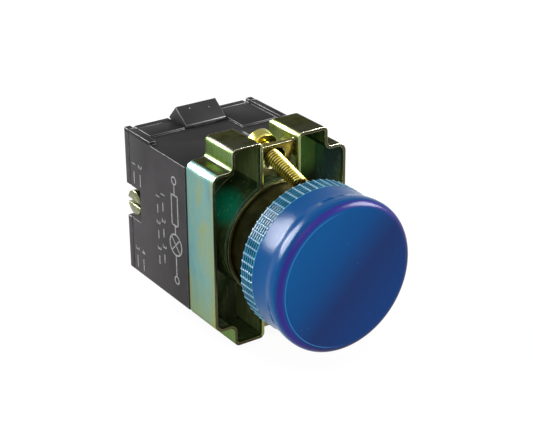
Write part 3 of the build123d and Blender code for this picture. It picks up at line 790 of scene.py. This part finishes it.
# Lens cap
def lens_cap():
    """A turned bead and flared body with a band of finely grooved flats and raised ribs."""
    corner = BEAD_RADIUS - BEAD_ROUND
    outline = [(0, LENS_FACE), (corner - FACE_MARGIN, LENS_FACE)]
    for step in range(BEAD_STEPS + 1):
        turn = pi / 2 * step / BEAD_STEPS
        place = LENS_FACE + BEAD_ROUND * (1 - cos(turn))
        outline.append((corner + BEAD_ROUND * sin(turn), place))
    bead_end = LENS_FACE + BEAD_ROUND + BEAD_LAND
    for step in range(FLARE_STEPS + 1):
        share = step / FLARE_STEPS
        drop = (BEAD_RADIUS - BODY_RADIUS) * (1 - cos(pi * share)) / 2
        outline.append((BEAD_RADIUS - drop, bead_end + (FLARE_BACK - bead_end) * share))
    outline += [(BODY_RADIUS, KNURL_FRONT - KNURL_CORNER), (KNURL_RADIUS, KNURL_FRONT)]
    pitch = (LENS_BACK - KNURL_FRONT) / (FINE_GROOVES + 1)
    for groove in range(1, FINE_GROOVES + 1):
        middle = KNURL_FRONT + pitch * groove
        outline += [
            (KNURL_RADIUS, middle - FINE_GROOVE_WIDTH / 2),
            (KNURL_RADIUS - FINE_GROOVE_DEPTH, middle),
            (KNURL_RADIUS, middle + FINE_GROOVE_WIDTH / 2),
        ]
    inside = THREAD_RADIUS - SEAT_WIDTH
    outline += [
        (KNURL_RADIUS, LENS_BACK - KNURL_CORNER),
        (KNURL_RADIUS - KNURL_CORNER, LENS_BACK),
        (THREAD_RADIUS, LENS_BACK),
        (THREAD_RADIUS, SEAT_FRONT),
        (inside, SEAT_FRONT),
        (inside, LENS_FACE + LENS_WALL + INNER_CORNER),
        (inside - INNER_CORNER, LENS_FACE + LENS_WALL),
        (0, LENS_FACE + LENS_WALL),
    ]
    piece = turned("lens_cap_turned", outline, LENS_STEPS)
    take(piece)
    bpy.ops.object.mode_set(mode="EDIT")

    def on_rib(face):
        place = face.center / MM
        outside = place.xz.length > KNURL_RADIUS - FINE_GROOVE_DEPTH
        turn = atan2(place.z, place.x) % (2 * pi)
        number = int(turn / (2 * pi / LENS_STEPS))
        return outside and place.y > KNURL_FRONT and number % STEPS_PER_RIB == 0

    pick_faces(piece, on_rib)
    bpy.ops.mesh.inset(thickness=RIB_INSET * MM, depth=(RIB_RADIUS - KNURL_RADIUS) * MM)
    bpy.ops.object.mode_set(mode="OBJECT")
    bpy.ops.object.shade_smooth_by_angle(angle=RIB_SMOOTH)
    give_finish(piece, "blue_lens")
    fitted(piece, "lens", "lens_cap")


# Clamp screws
def thread_rod():
    """A rod along -Y with a helical thread, from the lug's back collar to the tip."""
    bpy.ops.object.select_all(action="DESELECT")
    bpy.ops.mesh.primitive_plane_add(size=MM)
    rod = latest("clamp_screw_thread")
    bpy.ops.object.mode_set(mode="EDIT")
    bpy.ops.mesh.merge(type="CENTER")
    start = SCREW_HEAD_FRONT + SCREW_PITCH / 2
    outline = [
        (SCREW_CREST - SCREW_ROOT, THREAD_FLANK),
        (0, THREAD_LAND),
        (SCREW_ROOT - SCREW_CREST, THREAD_FLANK),
        (0, THREAD_FLOOR),
    ]
    bpy.ops.transform.translate(value=(SCREW_ROOT * MM, start * MM, 0))
    for outwards, forwards in outline:
        move = (outwards * MM, -forwards * MM, 0)
        bpy.ops.mesh.extrude_region_move(TRANSFORM_OT_translate={"value": move})
    bpy.ops.object.mode_set(mode="OBJECT")
    turns = int((start + SCREW_REACH) / SCREW_PITCH) + 1
    apply(
        rod,
        "SCREW",
        axis="Y",
        angle=2 * pi,
        screw_offset=-SCREW_PITCH * MM,
        steps=SCREW_STEPS,
        render_steps=SCREW_STEPS,
        iterations=turns,
        use_merge_vertices=True,
        merge_threshold=SOLID_WELD * MM,
    )
    bpy.ops.object.mode_set(mode="EDIT")
    for place, outwards in ((-SCREW_REACH, -1), (SCREW_HEAD_FRONT + SCREW_OVERLAP, 1)):
        bpy.ops.mesh.select_all(action="SELECT")
        bpy.ops.mesh.bisect(
            plane_co=(0, place * MM, 0),
            plane_no=(0, outwards, 0),
            clear_outer=True,
            use_fill=True,
        )
    bpy.ops.mesh.select_all(action="SELECT")
    bpy.ops.mesh.remove_doubles(threshold=WELD * MM)
    bpy.ops.mesh.normals_make_consistent(inside=False)
    bpy.ops.object.mode_set(mode="OBJECT")
    return rod


def screw_head():
    """A slotted cheese head behind the lug."""
    back = SCREW_HEAD_FRONT + SCREW_HEAD_HEIGHT
    outline = [
        (0, SCREW_HEAD_FRONT),
        (SCREW_HEAD_RADIUS, SCREW_HEAD_FRONT),
        (SCREW_HEAD_RADIUS, back),
        (0, back),
    ]
    head = turned("clamp_screw_head", outline, SCREW_HEAD_STEPS)
    bpy.ops.object.select_all(action="DESELECT")
    bpy.ops.mesh.primitive_cube_add(
        size=MM,
        location=(0, back * MM, 0),
        scale=(4 * SCREW_HEAD_RADIUS, 2 * SLOT_DEPTH, SLOT_WIDTH),
    )
    slot = latest("slot_cutter")
    apply(head, "BOOLEAN", operation="DIFFERENCE", solver="EXACT", object=slot)
    bpy.data.objects.remove(slot)
    softened(head, SCREW_HEAD_ROUND, segments=3)
    return head


def clamp_screws():
    """Both screws, copies of one, turned about their lugs' middles to the lugs' tilt."""
    rod = thread_rod()
    head = screw_head()
    take(rod)
    bpy.ops.object.shade_smooth_by_angle(angle=THREAD_SMOOTH)
    head.select_set(True)
    bpy.ops.object.join()
    rod.data.validate()
    give_finish(rod, "gold_screw")
    for level, name, body in (
        (1, "top", "upper_clamp_screw"),
        (-1, "bottom", "lower_clamp_screw"),
    ):
        piece = bpy.data.objects.new("clamp_screw_threaded_" + name, rod.data.copy())
        bpy.context.scene.collection.objects.link(piece)
        piece.rotation_euler = (level * LUG_TILT, 0, 0)
        piece.location = (0, LUG_FRONT * MM, level * LUG_HEIGHT * MM)
        take(piece)
        bpy.ops.object.transform_apply()
        fitted(piece, body, "clamp_screw_" + name)
    bpy.data.objects.remove(rod)


# Print on the module's left side
def stroke(y, z, length, width=LINE):
    """A flat bar of ink, its length along Z."""
    bpy.ops.mesh.primitive_cube_add(
        size=MM,
        location=(PRINT_FACE * MM, y * MM, z * MM),
        scale=(2 * PRINT_RISE, width, length),
    )
    return bpy.context.active_object


def ring(y, z, radius, width=LINE):
    """A flat ring of ink."""
    bpy.ops.mesh.primitive_cylinder_add(
        vertices=RING_STEPS,
        radius=radius * MM,
        depth=2 * PRINT_RISE * MM,
        location=(PRINT_FACE * MM, y * MM, z * MM),
        rotation=(0, pi / 2, 0),
    )
    piece = bpy.context.active_object
    bpy.ops.object.mode_set(mode="EDIT")
    pick_faces(piece, lambda face: len(face.vertices) == RING_STEPS)
    bpy.ops.mesh.inset(thickness=width * MM, use_individual=True)
    bpy.ops.mesh.bridge_edge_loops()
    bpy.ops.object.mode_set(mode="OBJECT")
    return piece


def numeral(text, y, z):
    bpy.ops.object.text_add(
        location=(PRINT_FACE * MM, y * MM, z * MM),
        rotation=(pi / 2, pi / 2, -pi / 2),
    )
    piece = bpy.context.active_object
    piece.data.body = text
    piece.data.size = NUMERAL_SIZE * MM
    piece.data.align_x = "CENTER"
    piece.data.align_y = "CENTER"
    piece.data.extrude = PRINT_RISE * MM
    bpy.ops.object.convert(target="MESH")
    return bpy.context.active_object


def wiring_sketch():
    """Two terminals joined through a resistor and a lamp."""
    middle = (RESISTOR_TOP + RESISTOR_BOTTOM) / 2
    marks = []
    for level in (TERMINAL_RING, -TERMINAL_RING):
        marks.append(ring(SKETCH, level, TERMINAL_RING_RADIUS, FINE_LINE))
    for side in (-RESISTOR_SIDE, RESISTOR_SIDE):
        marks.append(stroke(SKETCH + side, middle, RESISTOR_TOP - RESISTOR_BOTTOM + LINE))
    for level in (RESISTOR_TOP, RESISTOR_BOTTOM):
        marks.append(stroke(SKETCH, level, LINE, 2 * RESISTOR_SIDE + LINE))
    marks.append(ring(SKETCH, LAMP_SYMBOL, LAMP_SYMBOL_RADIUS))
    for turn in (pi / 4, -pi / 4):
        bar = stroke(SKETCH, LAMP_SYMBOL, 2 * LAMP_SYMBOL_RADIUS - LINE, CROSS_LINE)
        take(bar)
        centre = (0, SKETCH * MM, LAMP_SYMBOL * MM)
        bpy.ops.transform.rotate(value=turn, orient_axis="X", center_override=centre)
        marks.append(bar)
    for level, length in WIRES:
        marks.append(stroke(SKETCH, level, length))
    return marks


def printed_numbers():
    """Plain numbers with a bar under each; the second row starts 1 mm lower."""
    marks = []
    for row, y in enumerate(ROWS):
        for place, number in enumerate(ROW_NUMBERS):
            z = ROW_TOP - ROW_STEP * place - row
            marks.append(numeral(number, y, z))
            marks.append(stroke(y, z - ROW_BAR_DROP, ROW_BAR))
    for z, numbers in CORNER_NUMBERS:
        for place, number in enumerate(numbers):
            y = CORNER - CORNER_STEP * place
            marks.append(numeral(number, y, z))
            marks.append(stroke(y, z - CORNER_BAR_DROP, CORNER_BAR, FINE_LINE))
    return marks


def wiring_print():
    """All print on the module's left side, as one piece."""
    bpy.ops.object.select_all(action="DESELECT")
    marks = wiring_sketch() + printed_numbers()
    bpy.ops.object.select_all(action="DESELECT")
    for mark in marks:
        mark.select_set(True)
    bpy.context.view_layer.objects.active = marks[0]
    bpy.ops.object.join()
    bpy.ops.object.transform_apply()
    piece = latest("module_side_print")
    piece.data.materials.clear()
    piece.data.materials.append(PRINT)
    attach(piece, "frame_and_module")


def mould_marks():
    """Two pale specks on the release tab's sloping face, copies of one."""
    bpy.ops.object.select_all(action="DESELECT")
    bpy.ops.mesh.primitive_uv_sphere_add(
        segments=16, ring_count=8, radius=MOULD_MARK_RADIUS * MM
    )
    bpy.ops.object.shade_smooth()
    speck = bpy.context.active_object
    speck.data.materials.append(PRINT)
    for number, place in enumerate(MOULD_MARKS, start=1):
        piece = bpy.data.objects.new("release_tab_mark_" + str(number), speck.data.copy())
        bpy.context.scene.collection.objects.link(piece)
        piece.location = Vector(place) * MM
        take(piece)
        bpy.ops.object.transform_apply()
        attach(piece, "release_latch")
    bpy.data.objects.remove(speck)


clamp_screws()
lens_cap()
wiring_print()
mould_marks()
refined("mounting_bracket", "chromated_bracket", "frame_and_module", 0.12)
refined("panel_bush", "chromated_bush", "frame_and_module", 0.10)
refined("module_housing", "black_moulding", "frame_and_module", 0.14)
refined("rear_cover", "black_cover", "frame_and_module", 0.14)
refined("release_tab", "black_tab", "release_latch", 0.18)
for side in ("left", "right"):
    refined("terminal_plate_" + side, "terminal_metal", "frame_and_module", 0.08)
    refined("saddle_clamp_" + side, "terminal_metal", side + "_terminal_screw", 0.10)
    refined("terminal_screw_" + side, "terminal_metal", side + "_terminal_screw", 0.14)


# Floor, lamps, world and camera
def rays_that_see_white(tree):
    """1 for the rays that show the background, straight, mirrored or through glass."""
    path = tree.nodes.new("ShaderNodeLightPath")
    either = tree.nodes.new("ShaderNodeMath")
    either.use_clamp = True
    both = tree.nodes.new("ShaderNodeMath")
    both.use_clamp = True
    tree.links.new(path.outputs["Is Camera Ray"], either.inputs[0])
    tree.links.new(path.outputs["Is Glossy Ray"], either.inputs[1])
    tree.links.new(either.outputs[0], both.inputs[0])
    tree.links.new(path.outputs["Is Transmission Ray"], both.inputs[1])
    return both.outputs[0]


def floor():
    bpy.ops.object.select_all(action="DESELECT")
    low = cad_box[0][2]
    bpy.ops.mesh.primitive_plane_add(
        size=FLOOR_SIZE * MM, location=(0, 0, low - FLOOR_DROP * MM)
    )
    ground = latest("studio_floor")
    bpy.ops.object.transform_apply()
    material = bpy.data.materials.new("pale_studio_floor")
    material.use_nodes = True
    tree = material.node_tree
    tree.nodes.clear()
    matt = tree.nodes.new("ShaderNodeBsdfDiffuse")
    matt.inputs["Color"].default_value = (FLOOR_GREY, FLOOR_GREY, FLOOR_GREY, 1)
    glow = tree.nodes.new("ShaderNodeEmission")
    glow.inputs["Strength"].default_value = FLOOR_GLOW
    blend = tree.nodes.new("ShaderNodeMixShader")
    share = tree.nodes.new("ShaderNodeMath")
    share.operation = "MULTIPLY"
    share.inputs[1].default_value = FLOOR_GLOW_SHARE
    tree.links.new(rays_that_see_white(tree), share.inputs[0])
    tree.links.new(share.outputs[0], blend.inputs[0])
    tree.links.new(matt.outputs[0], blend.inputs[1])
    tree.links.new(glow.outputs[0], blend.inputs[2])
    output = tree.nodes.new("ShaderNodeOutputMaterial")
    tree.links.new(blend.outputs[0], output.inputs["Surface"])
    ground.data.materials.append(material)


def world():
    sky = bpy.data.worlds.new("white_studio")
    bpy.context.scene.world = sky
    sky.use_nodes = True
    tree = sky.node_tree
    tree.nodes.clear()
    fill = tree.nodes.new("ShaderNodeBackground")
    fill.inputs["Color"].default_value = (1, 1, 1, 1)
    fill.inputs["Strength"].default_value = SKY_FILL
    seen = tree.nodes.new("ShaderNodeBackground")
    seen.inputs["Color"].default_value = (1, 1, 1, 1)
    blend = tree.nodes.new("ShaderNodeMixShader")
    tree.links.new(rays_that_see_white(tree), blend.inputs[0])
    tree.links.new(fill.outputs[0], blend.inputs[1])
    tree.links.new(seen.outputs[0], blend.inputs[2])
    output = tree.nodes.new("ShaderNodeOutputWorld")
    tree.links.new(blend.outputs[0], output.inputs["Surface"])


def softbox(name, direction, distance, size, power, mirrored=None):
    """A square lamp in metres that faces the origin from a direction; it shows only in
    mirrored light, only in matt light, or in both."""
    data = bpy.data.lights.new(name, "AREA")
    data.shape = "SQUARE"
    data.size = size
    data.energy = power
    lamp = bpy.data.objects.new(name, data)
    bpy.context.scene.collection.objects.link(lamp)
    towards = Vector(direction).normalized()
    lamp.location = towards * distance
    lamp.rotation_euler = towards.to_track_quat("Z", "Y").to_euler()
    if mirrored is not None:
        lamp.visible_diffuse = not mirrored
        lamp.visible_glossy = mirrored


def camera():
    data = bpy.data.cameras.new("photograph_view")
    data.sensor_width = SENSOR_WIDTH
    data.lens = FOCAL_LENGTH
    data.clip_start = NEAREST_SEEN
    level = Vector((cos(VIEW_AZIMUTH), sin(VIEW_AZIMUTH), 0))
    back = Vector(
        (
            sin(VIEW_AZIMUTH) * cos(VIEW_ELEVATION),
            -cos(VIEW_AZIMUTH) * cos(VIEW_ELEVATION),
            sin(VIEW_ELEVATION),
        )
    )
    rise = back.cross(level)
    right = level * cos(VIEW_ROLL) + rise * sin(VIEW_ROLL)
    up = rise * cos(VIEW_ROLL) - level * sin(VIEW_ROLL)
    place = back * VIEW_DISTANCE - right * VIEW_SIDEWAYS - up * VIEW_UPWARDS
    viewer = bpy.data.objects.new("photograph_view", data)
    bpy.context.scene.collection.objects.link(viewer)
    turn = Matrix((right, up, back)).transposed().to_4x4()
    viewer.matrix_world = Matrix.Translation(place) @ turn
    bpy.context.scene.camera = viewer


floor()
world()
# A lamp left out of mirrored light shows black there, so its window lies just before it.
softbox("softbox_behind", LAMP_BEHIND, distance=0.60, size=0.30, power=3.0, mirrored=False)
softbox("window_behind", LAMP_BEHIND, distance=0.59, size=0.31, power=13.0, mirrored=True)
softbox("softbox_front", LAMP_IN_FRONT, distance=0.70, size=0.30, power=2.6, mirrored=False)
softbox("window_front", LAMP_IN_FRONT, distance=0.69, size=0.36, power=19.0, mirrored=True)
softbox("softbox_above", LAMP_ABOVE, distance=0.80, size=0.50, power=2.0)
camera()
bpy.context.scene.view_settings.view_transform = "Standard"
